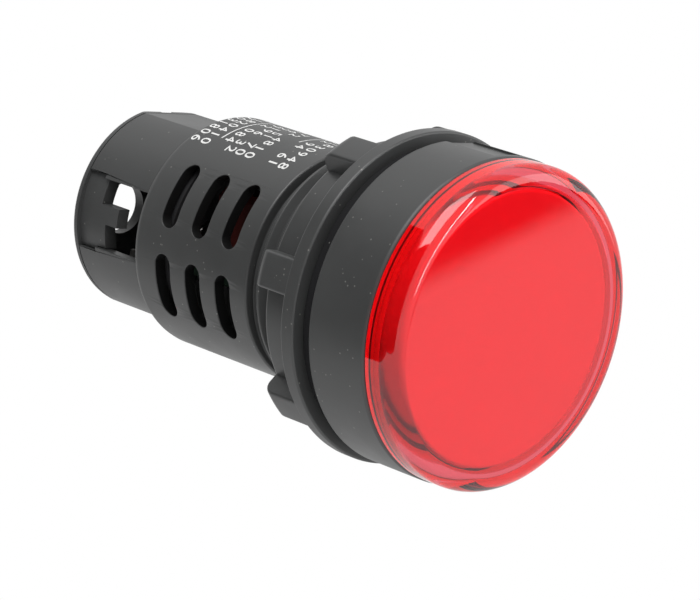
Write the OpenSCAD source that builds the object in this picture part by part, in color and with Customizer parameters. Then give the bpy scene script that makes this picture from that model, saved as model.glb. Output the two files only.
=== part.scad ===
// Panel pilot light for a 22 mm hole: round lens in a bezel, threaded neck with
// gasket and ring nut, vented barrel, and two screw terminals under a pull-off cover.
// The lens faces -Y, +Z is up, and the origin is the centre of the bezel's rear face,
// where the neck passes through the panel.

/* [Bezel] */
// Outer diameter of the bezel
bezel_d = 29; // [28.6:0.2:32]
// Length of the bezel in front of the panel
bezel_len = 6.8; // [6.6:0.1:9]
// Chamfer on the bezel's two outer edges
bezel_chamfer = 0.3; // [0.1:0.05:0.5]
// Thickness of the bezel's floor, where it meets the neck
floor_t = 1.6; // [1.2:0.1:2]
// Wall of the bezel round the lens skirt
bezel_wall = 1.1; // [0.9:0.1:1.3]
// Width of the locating flat on top of the bezel
mark_w = 3.6; // [2:0.2:6]
// Depth of the locating flat
mark_depth = 0.3; // [0.1:0.05:0.5]
// Plain rim left in front of the locating flat
mark_rim = 0.7; // [0.4:0.1:1.2]

/* [Lens] */
// How far the lens stands out of the bezel
lens_out = 3.4; // [3:0.1:5]
// Step from the bezel's outside in to the lens's side wall
lens_step = 0.1; // [0.05:0.05:0.3]
// Radius of the lens's outer shoulder
lens_shoulder = 2.3; // [1.8:0.1:2.8]
// Wall of the lens
lens_wall = 1.2; // [1:0.1:1.5]
// Length of the lens skirt inside the bezel
skirt_len = 3.2; // [2.6:0.1:3.4]
// Wall of the lens skirt
skirt_t = 1.1; // [0.9:0.1:1.2]
// Height of the snap rib round the skirt
rib_h = 0.25; // [0.1:0.05:0.35]
// Width of the snap rib
rib_w = 0.8; // [0.5:0.1:1]

/* [Light source] */
// Thickness of the diffuser
diffuser_t = 0.8; // [0.6:0.1:1]
// Thickness of both circuit boards
board_t = 1.2; // [1:0.1:1.6]
// LEDs on the ring round the middle one
led_count = 6; // [4:1:8]
// Diameter of an LED
led_d = 3; // [2.6:0.1:3.4]
// Height of an LED over its board
led_h = 3.6; // [3:0.1:4]
// Radius of the LED ring
led_ring_r = 6.6; // [5.6:0.1:7.6]

/* [Neck] */
// Diameter of the neck over its thread
neck_d = 21.8; // [21.7:0.05:22]
// Length of the neck behind the bezel
neck_len = 11.6; // [11:0.1:13]
// Bore of the neck
neck_bore_d = 18.4; // [18:0.1:18.6]
// Pitch of the neck's thread
thread_pitch = 1.5; // [1.25:0.25:1.75]
// Depth of the thread
thread_depth = 0.7; // [0.4:0.05:0.8]
// Plain length of the neck before its thread
collar_len = 1.75; // [1.5:0.05:2.2]

/* [Gasket] */
// Outer diameter of the gasket
gasket_d = 27.6; // [26.5:0.1:28.2]
// Thickness of the gasket
gasket_t = 1.35; // [1:0.05:1.6]

/* [Ring nut] */
// Diameter of the nut's flange and over its lugs
flange_d = 29.8; // [29:0.1:32]
// Thickness of the flange
flange_t = 1.5; // [1.2:0.1:2]
// Diameter of the nut's hub
hub_d = 26; // [25:0.1:27]
// Overall length of the nut
nut_len = 5.6; // [4.6:0.1:6]
// Number of lugs
lug_count = 7; // [5:1:9]
// Width of a lug
lug_w = 3.2; // [2.4:0.1:4]
// Gap between the lugs' ends and the hub's rear face
lug_short = 0.4; // [0.2:0.1:0.8]
// Radius on a lug's outer rear corner
lug_round = 1.2; // [0.5:0.1:1.3]
// Turn of the nut on its thread at rest
nut_turn_deg = -19; // [-50:1:50]

/* [Barrel] */
// Diameter of the vented barrel
barrel_d = 21.5; // [21:0.1:21.6]
// Length of the vented barrel
barrel_len = 15.4; // [15:0.1:18]
// Wall of the barrel
barrel_wall = 1.2; // [1:0.1:1.4]
// Joint line between the neck and the barrel
joint_gap = 0.35; // [0.2:0.05:0.6]
// Length of the spigot inside the neck
spigot_len = 3.2; // [2.5:0.1:4]
// Wall of the spigot
spigot_wall = 1.1; // [0.9:0.1:1.2]
// Rounding of the barrel's rear edge
barrel_round = 0.9; // [0.4:0.1:1.1]
// Width of a vent slot along the barrel
slot_w = 2; // [1.4:0.1:2.4]
// Height of a vent slot
slot_h = 5.7; // [4:0.1:6]
// Pitch of the slots along the barrel
slot_pitch = 4; // [3.6:0.1:4.4]
// Columns of slots along the barrel
slot_cols = 3; // [1:1:3]
// Height of the slot rows' middles above and below the axis
slot_row = 4.05; // [3.8:0.05:4.4]
// Distance from the barrel's front edge to the first column of slots
slot_start = 3.15; // [2.6:0.05:3.8]

/* [Rear sleeve] */
// Diameter of the rear sleeve
sleeve_d = 19; // [18.8:0.1:19.4]
// Length of the rear sleeve behind the barrel, with the cover's rim
sleeve_len = 9.9; // [9.6:0.1:11]
// Wall of the rear sleeve
sleeve_wall = 1.3; // [1.2:0.05:1.4]
// Distance across the sleeve's top and bottom flats
flats_w = 17.9; // [17.8:0.05:18.5]
// Height of the two wire windows
window_h = 6.4; // [5.8:0.1:6.8]
// How much taller a window is at its rear end
window_step = 0.35; // [0.2:0.05:0.5]
// Length of the taller end of a window
window_step_len = 2.3; // [1.8:0.1:2.6]

/* [Terminal cover] */
// Thickness of the cover's rear plate
cover_t = 1.1; // [0.9:0.1:1.3]
// Rim of the cover that closes the sleeve's end
cover_rim = 0.7; // [0.5:0.1:0.8]
// Rounding of the cover's rear edge
cover_round = 0.5; // [0.3:0.05:0.6]
// Step from the sleeve's outside in to the cover's tongues
tongue_step = 0.45; // [0.3:0.05:0.6]
// Thickness of a tongue
tongue_t = 1.25; // [1.1:0.05:1.4]
// Length of a tongue below its tab
tongue_len = 3.4; // [3:0.1:3.8]
// How much deeper the notch above the tab is
notch_extra = 0.8; // [0.4:0.1:1.2]
// Length of the tab beyond the tongue
tab_len = 1.6; // [1:0.1:1.8]
// Height of the tab
tab_h = 1.75; // [1.2:0.05:2]
// Length of the cover's inner skirt
inner_skirt_len = 4.4; // [3:0.1:5]
// Diameter of the screwdriver holes
driver_hole_d = 4.8; // [4.4:0.1:5]

/* [Terminals] */
// Distance between the two terminal screws
screw_spacing = 8.8; // [8.6:0.1:9]
// Thread diameter of a terminal screw
screw_d = 3; // [2.8:0.1:3.1]
// Head diameter of a terminal screw
head_d = 5.2; // [4.8:0.1:5.3]
// Height of the screw head
head_h = 1.8; // [1.4:0.1:2]
// Length of the screw under its head
screw_len = 4.8; // [4:0.1:5]
// Side of the square clamp plates
clamp_w = 5.4; // [5:0.1:5.5]
// Thickness of clamp plates and contacts
metal_t = 0.8; // [0.6:0.05:0.9]
// Length of the contact's wire rest behind the block
rest_len = 4.7; // [3.6:0.1:5]
// Length of the contact's tail under the driver board
tail_len = 3; // [2:0.1:4]
// Width of the contact's tail
tail_w = 2; // [1.6:0.1:2.6]
// Thickness of the block's disc
block_t = 2.4; // [2:0.1:3]
// Thickness of the partition between the terminals
partition_t = 1.4; // [1:0.1:1.6]

/* [Driver] */
// Width of the driver board
driver_w = 14.4; // [13:0.1:14.6]
// Diameter of the smoothing capacitor
can_d = 6; // [5:0.1:6.3]
// Length of the smoothing capacitor
can_len = 8; // [6:0.1:9]
// Length of the film capacitor
film_len = 9; // [7:0.1:10]
// Thickness of the film capacitor
film_t = 4; // [3:0.1:4.4]
// Height of the film capacitor
film_h = 7; // [5:0.1:7.2]
// Length of a resistor's body
resistor_len = 5.6; // [4.5:0.1:6]
// Diameter of a resistor's body
resistor_d = 2.1; // [1.6:0.1:2.3]
// Gap from the film capacitor to the board's rear edge
film_place = 2; // [1.5:0.1:3]
// Gap from the smoothing capacitor to the board's rear edge
can_place = 2.5; // [2:0.1:3.5]
// Distance of the resistors' middles from the board's front edge
resistor_place = 7; // [6.5:0.1:7.5]
// Distance of the rectifier from the board's front edge
rectifier_place = 5; // [4.5:0.1:5.5]
// Length of the rectifier
rectifier_len = 4.8; // [4:0.1:5.2]
// Length of the pins that join the boards
link_len = 4.5; // [4:0.1:5]

/* [Fits] */
// Radial clearance of a part that turns or slides on another
running_gap = 0.08; // [0.06:0.01:0.1]
// Clearance of a part that is pushed into another
push_gap = 0.1; // [0.08:0.01:0.14]
// Air between faces of two parts that can move apart
face_gap = 0.05; // [0.02:0.01:0.06]
// Solder under a round part that lies on a board
solder_t = 0.03; // [0.02:0.01:0.1]

/* [Hidden] */
link_stub = 0.5;
film_side = 1;
can_side = 0.8;
$fn = 72;
left = -1;
right = 1;
eps = 0.01;
past = 1;                                  // how far a cutter runs past what it cuts

// Bezel, lens and light source, with z counted rearwards from the bezel's rear face
bezel_r = bezel_d / 2;
bezel_front = -bezel_len;
pocket_r = bezel_r - bezel_wall;
lens_r = bezel_r - lens_step;
lens_front = bezel_front - lens_out;
skirt_r = pocket_r - push_gap;
skirt_rear = bezel_front + skirt_len;
rib_mid = bezel_front + skirt_len * 0.55;
lens_in_r = lens_r - lens_wall;
led_board_front = -floor_t - board_t;
diffuser_r = skirt_r - skirt_t - 0.3;
diffuser_front = lens_front + lens_wall + 0.3;

// Neck, gasket and nut
neck_r = neck_d / 2;
neck_bore_r = neck_bore_d / 2;
thread_turns = floor((neck_len - collar_len) / thread_pitch);
hole_r = neck_r + running_gap;             // bore of everything that goes over the neck
gasket_front = face_gap;
nut_front = gasket_front + gasket_t + face_gap;
flange_r = flange_d / 2;
hub_r = hub_d / 2;

// Barrel and sleeve
barrel_r = barrel_d / 2;
barrel_in_r = barrel_r - barrel_wall;
barrel_front = neck_len + joint_gap;
barrel_rear = barrel_front + barrel_len;
spigot_r = neck_bore_r - push_gap;
sleeve_r = sleeve_d / 2;
sleeve_in_r = sleeve_r - sleeve_wall;
light_rear = barrel_rear + sleeve_len;     // rearmost face of the whole light
sleeve_rear = light_rear - cover_rim - face_gap;
step_inner = barrel_rear - barrel_wall;    // inner face of the barrel's rear wall

// Terminals
screw_x = screw_spacing / 2;
block_front = step_inner - block_t;
block_rear = barrel_rear;
clamp_front = block_rear + metal_t + face_gap;
head_front = clamp_front + metal_t + face_gap;
rest_top = -clamp_w / 2 - 0.2;             // top of the contact's wire rest and tail

// Driver board: it lies on the contacts' tails and reaches the LED board
driver_top = rest_top + board_t;
driver_front = -floor_t;
driver_rear = block_front;
pin_r = 0.35;

// Points of an arc in a section, from angle a0 to a1
function arc(r, z, radius, a0, a1, steps = 6) =
    [for (i = [0:steps]) let (a = a0 + (a1 - a0) * i / steps)
        [r + radius * cos(a), z + radius * sin(a)]];

// Turns a part drawn with z pointing rearwards, and y down, into the light's own frame
module rearward() {
    rotate([-90, 0, 0])
        children();
}

module ring(r_out, r_in, z0, z1) {
    translate([0, 0, z0])
        difference() {
            cylinder(r = r_out, h = z1 - z0);
            translate([0, 0, -past])
                cylinder(r = r_in, h = z1 - z0 + 2 * past);
        }
}

// A box given by its three ranges
module block(x, y, z) {
    translate([x[0], y[0], z[0]])
        cube([x[1] - x[0], y[1] - y[0], z[1] - z[0]]);
}

module lens() {
    inner_round = lens_shoulder - lens_wall;
    color([0.88, 0.08, 0.12, 0.75]) rearward() rotate_extrude()
        polygon(concat(
            [[0, lens_front + lens_wall], [0, lens_front]],
            arc(lens_r - lens_shoulder, lens_front + lens_shoulder, lens_shoulder, -90, 0),
            [[lens_r, bezel_front], [skirt_r, bezel_front],
             [skirt_r, rib_mid - rib_w / 2], [skirt_r + rib_h, rib_mid], [skirt_r, rib_mid + rib_w / 2],
             [skirt_r, skirt_rear - 0.3], [skirt_r - 0.3, skirt_rear],
             [skirt_r - skirt_t, skirt_rear], [skirt_r - skirt_t, bezel_front],
             [lens_in_r, bezel_front - lens_wall]],
            arc(lens_in_r - inner_round, lens_front + lens_shoulder, inner_round, 0, -90)));
}

module diffuser() {
    color([0.95, 0.75, 0.75]) rearward() rotate_extrude()
        polygon([[0, diffuser_front], [diffuser_r - 0.5, diffuser_front],
                 [diffuser_r, diffuser_front + 0.5], [diffuser_r, led_board_front],
                 [diffuser_r - diffuser_t, led_board_front],
                 [diffuser_r - diffuser_t, diffuser_front + diffuser_t],
                 [0, diffuser_front + diffuser_t]]);
}

module led_board() {
    color("white") rearward() difference() {
        translate([0, 0, led_board_front])
            cylinder(r = pocket_r - 0.3, h = board_t);
        link_pin_places()
            cylinder(r = pin_r + push_gap, h = bezel_d, center = true);
    }
}

module led(h) {
    cylinder(d = led_d, h = h - led_d / 2);
    translate([0, 0, h - led_d / 2])
        sphere(d = led_d);
    cylinder(d = led_d + 0.6, h = 0.8);
}

module leds() {
    color("mistyrose") rearward() translate([0, 0, led_board_front]) mirror([0, 0, 1]) {
        led(led_h);
        for (i = [0:led_count - 1])
            rotate([0, 0, i * 360 / led_count])
                translate([led_ring_r, 0, 0])
                    led(led_h);
    }
}

// One pitch of the neck's thread, as points of its section
function thread_tooth(z) = [
    [neck_r, z], [neck_r - thread_depth, z + thread_pitch * 0.28],
    [neck_r - thread_depth, z + thread_pitch * 0.52], [neck_r, z + thread_pitch * 0.8]];

module front_body() {
    thread_start = neck_len - 0.15 - thread_turns * thread_pitch;
    color([0.13, 0.13, 0.14]) rearward() difference() {
        rotate_extrude()
            polygon(concat(
                [[pocket_r, bezel_front], [bezel_r - bezel_chamfer, bezel_front],
                 [bezel_r, bezel_front + bezel_chamfer], [bezel_r, -bezel_chamfer],
                 [bezel_r - bezel_chamfer, 0], [neck_r, 0]],
                [for (i = [0:thread_turns - 1]) each thread_tooth(thread_start + i * thread_pitch)],
                [[neck_r - 0.1, neck_len], [neck_bore_r, neck_len],
                 [neck_bore_r, -floor_t], [pocket_r, -floor_t],
                 [pocket_r, rib_mid + rib_w / 2], [pocket_r + rib_h, rib_mid],
                 [pocket_r, rib_mid - rib_w / 2]]));
        block([-mark_w / 2, mark_w / 2], [-bezel_r - past, mark_depth - bezel_r],
              [bezel_front + mark_rim, past]);
    }
}

module gasket() {
    edge = 0.2;
    color([0.04, 0.04, 0.04]) rearward() translate([0, 0, gasket_front]) rotate_extrude()
        polygon([[hole_r, 0], [gasket_d / 2 - edge, 0], [gasket_d / 2, edge],
                 [gasket_d / 2, gasket_t - edge], [gasket_d / 2 - edge, gasket_t], [hole_r, gasket_t]]);
}

// The nut's lugs are cut out of one turned ring, so their backs follow the flange
module nut_lugs() {
    lug_rear = nut_len - lug_short;
    intersection() {
        rotate_extrude()
            polygon(concat(
                [[hub_r - 0.5, flange_t - 0.5], [flange_r, flange_t - 0.5]],
                arc(flange_r - lug_round, lug_rear - lug_round, lug_round, 0, 90),
                [[hub_r - 0.5, lug_rear]]));
        for (i = [0:lug_count - 1])
            rotate([0, 0, nut_turn_deg + i * 360 / lug_count])
                block([0, flange_d], [-lug_w / 2, lug_w / 2], [0, nut_len]);
    }
}

module ring_nut() {
    edge = 0.25;
    hub_edge = 0.45;
    color([0.15, 0.15, 0.15]) rearward() translate([0, 0, nut_front]) difference() {
        union() {
            rotate_extrude()
                polygon([[hole_r - 1, 0], [flange_r - edge, 0], [flange_r, edge],
                         [flange_r, flange_t - edge], [flange_r - edge, flange_t],
                         [hub_r, flange_t], [hub_r, nut_len - hub_edge],
                         [hub_r - hub_edge, nut_len], [hole_r - 1, nut_len]]);
            nut_lugs();
        }
        translate([0, 0, -past])
            cylinder(r = hole_r, h = nut_len + 2 * past);
        translate([0, 0, nut_len - hub_edge])
            cylinder(r1 = hole_r, r2 = hole_r + hub_edge + eps, h = hub_edge + eps);
    }
}

// A vent slot with round ends, cut straight through both sides of the barrel
module vent_slot(z, y) {
    reach = barrel_d + 2 * past;
    straight = slot_h - slot_w;
    block([-reach / 2, reach / 2], [y - straight / 2, y + straight / 2], [z - slot_w / 2, z + slot_w / 2]);
    for (end = [-1, 1])
        translate([0, y + end * straight / 2, z])
            rotate([0, 90, 0])
                cylinder(d = slot_w, h = reach, center = true, $fn = 32);
}

// Both wire windows at once; gap makes the shape that slides in them
module window_cut(gap = 0) {
    tall = window_h / 2 + window_step - gap;
    low = window_h / 2 - gap;
    block([-sleeve_d, sleeve_d], [-low, low], [barrel_rear, light_rear + past]);
    block([-sleeve_d, sleeve_d], [-tall, tall], [sleeve_rear - window_step_len + gap, light_rear + past]);
}

// What is left between the sleeve's top and bottom flats
module between_flats(z0, z1) {
    block([-sleeve_d, sleeve_d], [-flats_w / 2, flats_w / 2], [z0, z1]);
}

module rear_housing() {
    lead = 0.25;
    color([0.17, 0.17, 0.17]) rearward() difference() {
        union() {
            rotate_extrude()
                polygon(concat(
                    [[spigot_r - spigot_wall, barrel_front - spigot_len],
                     [spigot_r - lead, barrel_front - spigot_len],
                     [spigot_r, barrel_front - spigot_len + lead], [spigot_r, barrel_front],
                     [barrel_r - lead, barrel_front], [barrel_r, barrel_front + lead]],
                    arc(barrel_r - barrel_round, barrel_rear - barrel_round, barrel_round, 0, 90),
                    [[sleeve_in_r, barrel_rear], [sleeve_in_r, step_inner], [barrel_in_r, step_inner],
                     [barrel_in_r, barrel_front + barrel_wall],
                     [spigot_r - spigot_wall, barrel_front + barrel_wall]]));
            intersection() {
                ring(sleeve_r, sleeve_in_r, step_inner, sleeve_rear);
                between_flats(step_inner, sleeve_rear);
            }
        }
        window_cut();
        for (col = [0:slot_cols - 1], row = [-1, 1])
            vent_slot(barrel_front + slot_start + col * slot_pitch, row * slot_row);
    }
}

// A tongue fills the rear of a wire window and carries a tab over the terminal
module cover_tongues() {
    tongue_r = sleeve_r - tongue_step;
    base = sleeve_rear + cover_rim;
    notch_front = sleeve_rear - tongue_len + notch_extra;
    lower_front = sleeve_rear - tongue_len;
    intersection() {
        ring(tongue_r, tongue_r - tongue_t, barrel_rear, base);
        window_cut(push_gap);
        union() {
            block([-sleeve_d, sleeve_d], [-sleeve_r, 0], [notch_front, base]);
            block([-sleeve_d, sleeve_d], [-eps, sleeve_r], [lower_front, base]);
            block([-sleeve_d, sleeve_d], [-tab_h / 2, tab_h / 2], [lower_front - tab_len, base]);
        }
    }
}

module terminal_cover() {
    rim_front = sleeve_rear + face_gap;
    plug_r = sleeve_in_r - push_gap;
    skirt_h = plug_r - 0.3;
    key_h = 2;
    color([0.16, 0.16, 0.17]) rearward() difference() {
        union() {
            intersection() {
                rotate_extrude()
                    polygon(concat(
                        [[0, rim_front], [sleeve_r, rim_front]],
                        arc(sleeve_r - cover_round, light_rear - cover_round, cover_round, 0, 90),
                        [[0, light_rear]]));
                between_flats(rim_front, light_rear);
            }
            translate([0, 0, light_rear - cover_t])
                cylinder(r = plug_r, h = cover_t - eps);
            difference() {
                ring(plug_r, plug_r - 0.8, sleeve_rear - inner_skirt_len, light_rear - cover_t + eps);
                block([-sleeve_d, sleeve_d], [-window_h / 2 - window_step, window_h / 2 + window_step],
                      [barrel_rear, light_rear - cover_t]);
            }
            cover_tongues();
        }
        for (side = [left, right])
            translate([side * screw_x, 0, light_rear - cover_t - past])
                cylinder(d = driver_hole_d, h = cover_t + 2 * past);
        for (side = [-1, 1])
            block([-partition_t / 2, partition_t / 2], side > 0 ? [skirt_h - key_h, skirt_h] : [-skirt_h, key_h - skirt_h],
                  [light_rear - 0.3, light_rear + past]);
    }
}

module terminal_block() {
    partition_rear = light_rear - cover_t - 0.3;
    disc_r = barrel_in_r - push_gap;
    boss_r = sleeve_in_r - push_gap;
    tail_gap = 0.05;
    color([0.12, 0.12, 0.13]) rearward() difference() {
        union() {
            translate([0, 0, block_front])
                cylinder(r = disc_r, h = block_t);
            translate([0, 0, block_front])
                cylinder(r = boss_r, h = block_rear - block_front);
            block([-partition_t / 2, partition_t / 2], [-boss_r + 1.4, boss_r - 1.4], [block_front, partition_rear]);
        }
        for (side = [left, right]) {
            translate([side * screw_x, 0, block_front - past])
                cylinder(d = screw_d + 0.8, h = block_rear - block_front + 2 * past);
            block([side * screw_x - tail_w / 2 - tail_gap, side * screw_x + tail_w / 2 + tail_gap],
                  [-rest_top - tail_gap, -rest_top + metal_t + tail_gap], [block_front - past, block_rear + past]);
        }
    }
}

// Contact: a plate tapped for the screw, a wire rest behind it and a tail to the board
module contact(side) {
    half = clamp_w / 2;
    rest_half = half - 0.7;
    color([0.85, 0.8, 0.68]) rearward() translate([side * screw_x, 0, 0]) difference() {
        union() {
            block([-half, half], [-half, -rest_top + metal_t], [block_rear, block_rear + metal_t]);
            block([-rest_half, rest_half], [-rest_top, -rest_top + metal_t], [block_rear, block_rear + rest_len]);
            block([-tail_w / 2, tail_w / 2], [-rest_top, -rest_top + metal_t],
                  [block_front - tail_len, block_rear + eps]);
        }
        translate([0, 0, block_rear - past])
            cylinder(r = screw_d / 2 + running_gap, h = metal_t + 2 * past);
        for (corner = [-1, 1])
            translate([corner * half, -rest_top + metal_t, block_rear - past])
                cylinder(r = half - rest_half, h = metal_t + 2 * past, $fn = 4);
    }
}

// Clamp plate: square, held captive on its screw, with two grips pressed in its front
module clamp(side) {
    groove = 0.25;
    color([0.8, 0.8, 0.78]) rearward() translate([side * screw_x, 0, clamp_front]) difference() {
        block([-clamp_w / 2, clamp_w / 2], [-clamp_w / 2, clamp_w / 2], [0, metal_t]);
        translate([0, 0, -past])
            cylinder(r = screw_d / 2 + running_gap, h = metal_t + 2 * past);
        for (x = [-1, 1])
            translate([x * clamp_w * 0.38, 0, 0])
                rotate([90, 0, 0])
                    cylinder(r = groove, h = clamp_w + 2 * past, center = true, $fn = 4);
    }
}

// Terminal screw: pan head with a cross recess, one arm longer for a flat driver
module terminal_screw(side) {
    dome = 0.7;
    recess = 1;
    color([0.78, 0.78, 0.76]) rearward() translate([side * screw_x, 0, head_front]) difference() {
        rotate_extrude()
            polygon(concat(
                [[0, -screw_len], [screw_d / 2 - 0.4, -screw_len], [screw_d / 2, 0.4 - screw_len],
                 [screw_d / 2, 0], [head_d / 2, 0]],
                arc(head_d / 2 - dome, head_h - dome, dome, 0, 90),
                [[0, head_h]]));
        block([-head_d, head_d], [-0.35, 0.35], [head_h - recess, head_h + past]);
        block([-0.35, 0.35], [-head_d * 0.32, head_d * 0.32], [head_h - recess, head_h + past]);
    }
}

module driver_board() {
    color([0.08, 0.35, 0.2]) rearward()
        block([-driver_w / 2, driver_w / 2], [-driver_top, -rest_top], [driver_front, driver_rear]);
}

// Film capacitor on the left, where the vents show it
module film_capacitor() {
    edge = 0.7;
    rear = driver_rear - film_place;
    color([0.75, 0.16, 0.1]) rearward() translate([-driver_w / 2 + film_side, -driver_top, rear - film_len])
        linear_extrude(film_len)
            polygon([[0, 0], [film_t, 0], [film_t, edge - film_h], [film_t - edge, -film_h],
                     [edge, -film_h], [0, edge - film_h]]);
}

module smoothing_capacitor() {
    rear = driver_rear - can_place;
    bead = 0.25;
    color([0.12, 0.14, 0.3]) rearward() translate([driver_w / 2 - can_side - can_d / 2, -driver_top - solder_t - can_d / 2, 0])
        rotate_extrude()
            polygon([[0, rear - can_len], [can_d / 2 - bead, rear - can_len], [can_d / 2, rear - can_len + bead],
                     [can_d / 2, rear - 1.6], [can_d / 2 - bead, rear - 1.3], [can_d / 2, rear - 1],
                     [can_d / 2, rear - bead], [can_d / 2 - bead, rear], [0, rear]]);
}

// Two resistors side by side, each with a lead at both ends bent down to the board
module resistors() {
    lead_d = 0.6;
    lift = 0.5;
    reach = resistor_len / 2 + 1.2;
    color([0.8, 0.68, 0.5]) rearward()
        for (x = [-driver_w * 0.32, -driver_w * 0.1])
            translate([x, -driver_top - lift - resistor_d / 2, driver_front + resistor_place]) {
                cylinder(d = resistor_d, h = resistor_len, center = true, $fn = 32);
                cylinder(d = lead_d, h = 2 * reach, center = true, $fn = 16);
                for (end = [-1, 1])
                    translate([0, -lead_d / 2, end * (reach - lead_d / 2)])
                        rotate([-90, 0, 0])
                            cylinder(d = lead_d, h = lift + resistor_d / 2 + lead_d / 2, $fn = 16);
            }
}

module rectifier() {
    body_w = 4.4;
    body_h = 2.4;
    color([0.1, 0.1, 0.1]) rearward() translate([driver_w * 0.22, -driver_top, driver_front + rectifier_place])
        difference() {
            block([-body_w / 2, body_w / 2], [-body_h, 0], [0, rectifier_len]);
            translate([0, -body_h, 0])
                rotate([90, 0, 0])
                    cylinder(r = 0.6, h = 0.6, center = true, $fn = 24);
        }
}

// The pins that join the two boards, lying on the driver board
module link_pin_places() {
    for (x = [-0.28, -0.16, 0.16, 0.28])
        translate([x * driver_w, -driver_top - solder_t - pin_r, 0])
            children();
}

module link_pins() {
    color("silver") rearward() link_pin_places()
        translate([0, 0, led_board_front - link_stub])
            cylinder(r = pin_r, h = link_len, $fn = 16);
}

module contact_left() { contact(left); }
module contact_right() { contact(right); }
module clamp_left() { clamp(left); }
module clamp_right() { clamp(right); }
module screw_left() { terminal_screw(left); }
module screw_right() { terminal_screw(right); }

lens();
diffuser();
led_board();
leds();
front_body();
gasket();
ring_nut();
rear_housing();
terminal_cover();
terminal_block();
contact_left();
contact_right();
clamp_left();
clamp_right();
screw_left();
screw_right();
driver_board();
film_capacitor();
smoothing_capacitor();
resistors();
rectifier();
link_pins();
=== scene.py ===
"""Looks of the panel pilot light: moulded shells, clear red lens, terminal screws, finishes and studio."""

import math

import bpy
from bpy.props import FloatProperty, FloatVectorProperty, IntProperty, PointerProperty
from mathutils import Matrix, Vector


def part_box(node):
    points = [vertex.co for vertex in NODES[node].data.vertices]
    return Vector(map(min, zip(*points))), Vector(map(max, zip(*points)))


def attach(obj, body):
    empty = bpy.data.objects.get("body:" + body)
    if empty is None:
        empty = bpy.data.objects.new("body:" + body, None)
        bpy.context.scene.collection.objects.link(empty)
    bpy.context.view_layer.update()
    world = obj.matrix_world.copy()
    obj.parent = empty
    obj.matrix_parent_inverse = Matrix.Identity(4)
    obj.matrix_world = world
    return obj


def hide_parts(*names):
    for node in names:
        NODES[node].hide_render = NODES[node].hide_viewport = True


bl_info = {
    "name": "Panel Pilot Light",
    "version": (1, 0, 0),
    "blender": (4, 5, 0),
    "location": "View3D > Sidebar > Pilot Light",
    "description": "Models and finishes a round panel pilot light around its CAD frame",
    "category": "Object",
}

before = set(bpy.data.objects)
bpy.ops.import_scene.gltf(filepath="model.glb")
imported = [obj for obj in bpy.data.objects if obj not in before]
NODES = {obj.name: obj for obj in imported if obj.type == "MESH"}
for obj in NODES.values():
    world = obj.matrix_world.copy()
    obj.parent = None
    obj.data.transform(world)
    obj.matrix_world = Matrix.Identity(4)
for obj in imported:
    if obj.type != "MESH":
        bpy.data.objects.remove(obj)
MM = 0.001
STEPS = 160  # faces round a turned piece
WELD = 1e-6  # vertices closer than this are one


# Sizes taken from the frame, in millimetres


def reach(node, axis, end):
    """Returns where a CAD node ends along an axis (0, 1 or 2), end 0 being the low one."""
    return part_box(node)[end][axis] / MM


LENS_FRONT = reach("lens", 1, 0)
BEZEL_R = reach("front_body", 0, 1)
NECK_REAR = reach("front_body", 1, 1)
NUT_FRONT = reach("ring_nut", 1, 0)
NUT_REAR = reach("ring_nut", 1, 1)
FLANGE_R = reach("ring_nut", 2, 1)
BARREL_R = reach("rear_housing", 0, 1)
SPIGOT_FRONT = reach("rear_housing", 1, 0)
SLEEVE_REAR = reach("rear_housing", 1, 1)
LIGHT_REAR = reach("terminal_cover", 1, 1)
FLAT_Z = reach("terminal_cover", 2, 1)
HEAD_FRONT = reach("screw_left", 1, 1) - 1.8
SCREW_TIP = reach("screw_left", 1, 0)


class LensSettings(bpy.types.PropertyGroup):
    """Sizes and colour of the clear red lens."""

    color: FloatVectorProperty(
        name="Lens colour", description="Colour of the clear plastic", subtype="COLOR", size=3, min=0, max=1,
        default=(0.83, 0.085, 0.12),
    )
    shoulder: FloatProperty(
        name="Shoulder radius", description="Rounding between the lens face and its side", default=1.5 * MM,
        unit="LENGTH", precision=5,
    )
    wall: FloatProperty(
        name="Wall", description="Thickness of the lens wall", default=1.2 * MM, unit="LENGTH", precision=5
    )


class BezelSettings(bpy.types.PropertyGroup):
    """Sizes of the bezel and its threaded neck."""

    length: FloatProperty(
        name="Bezel length", description="From the panel to the bezel's front rim", default=6.8 * MM, unit="LENGTH",
        precision=5,
    )
    rim_round: FloatProperty(
        name="Rim rounding", description="Radius of the bezel's outer edges", default=0.35 * MM, unit="LENGTH",
        precision=5,
    )
    thread_r: FloatProperty(
        name="Thread radius", description="Radius over the thread's crests", default=10.9 * MM, unit="LENGTH",
        precision=5,
    )
    thread_pitch: FloatProperty(
        name="Thread pitch", description="Rise of the thread in one turn", default=1.5 * MM, unit="LENGTH",
        precision=5,
    )
    thread_depth: FloatProperty(
        name="Thread depth", description="Height of the thread", default=0.7 * MM, unit="LENGTH", precision=5
    )


class NutSettings(bpy.types.PropertyGroup):
    """Sizes of the ring nut and its lugs."""

    lugs: IntProperty(name="Lugs", description="Number of gripping lugs round the nut", default=7, min=3, max=12)
    lug_width: FloatProperty(
        name="Lug width", description="Width of one lug", default=3.2 * MM, unit="LENGTH", precision=5
    )
    turned: FloatProperty(
        name="Turned", description="Angle of the first lug as the nut stands", default=math.radians(-19),
        subtype="ANGLE",
    )
    edge: FloatProperty(
        name="Edge rounding", description="Radius of the moulded edges", default=0.22 * MM, unit="LENGTH", precision=5
    )


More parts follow.
